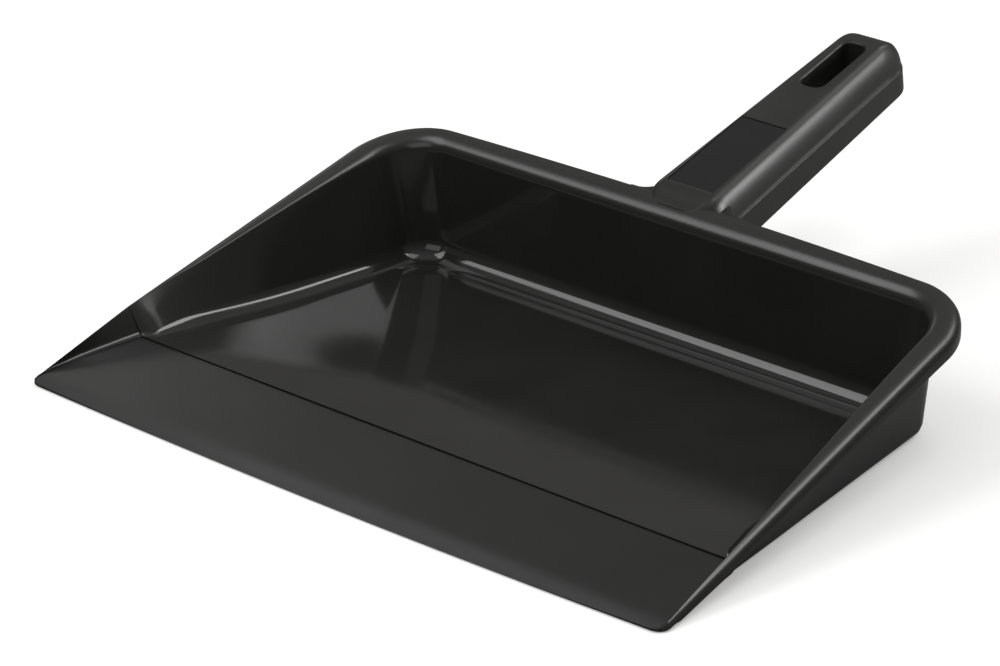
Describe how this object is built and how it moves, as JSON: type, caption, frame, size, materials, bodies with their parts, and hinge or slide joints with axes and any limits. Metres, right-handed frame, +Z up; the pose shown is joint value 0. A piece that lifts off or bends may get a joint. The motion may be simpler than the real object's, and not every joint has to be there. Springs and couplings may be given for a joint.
{
  "type": "hand dustpan",
  "caption": "Black moulded hand dustpan: a shallow sloped tray with a rolled rim and a ramped front lip, and an upswept hollow handle with a hang slot",
  "frame": {"origin": "on the ground, under the middle of the object's width and length", "axes": "+X to the right, +Y from the front lip towards the handle's end, +Z up from the ground"},
  "size_m": [0.3106, 0.3368, 0.089],
  "materials": {
    "shell_black": "satin, moulded",
    "lip_black": "matte, fine grain",
    "plate_black": "smooth, plain"
  },
  "bodies": {
    "root": {"pan_shell": "shell_black", "front_lip": "lip_black", "handle_upper": "shell_black", "handle_lower": "shell_black", "label_plate": "plate_black"}
  },
  "joints": []
}
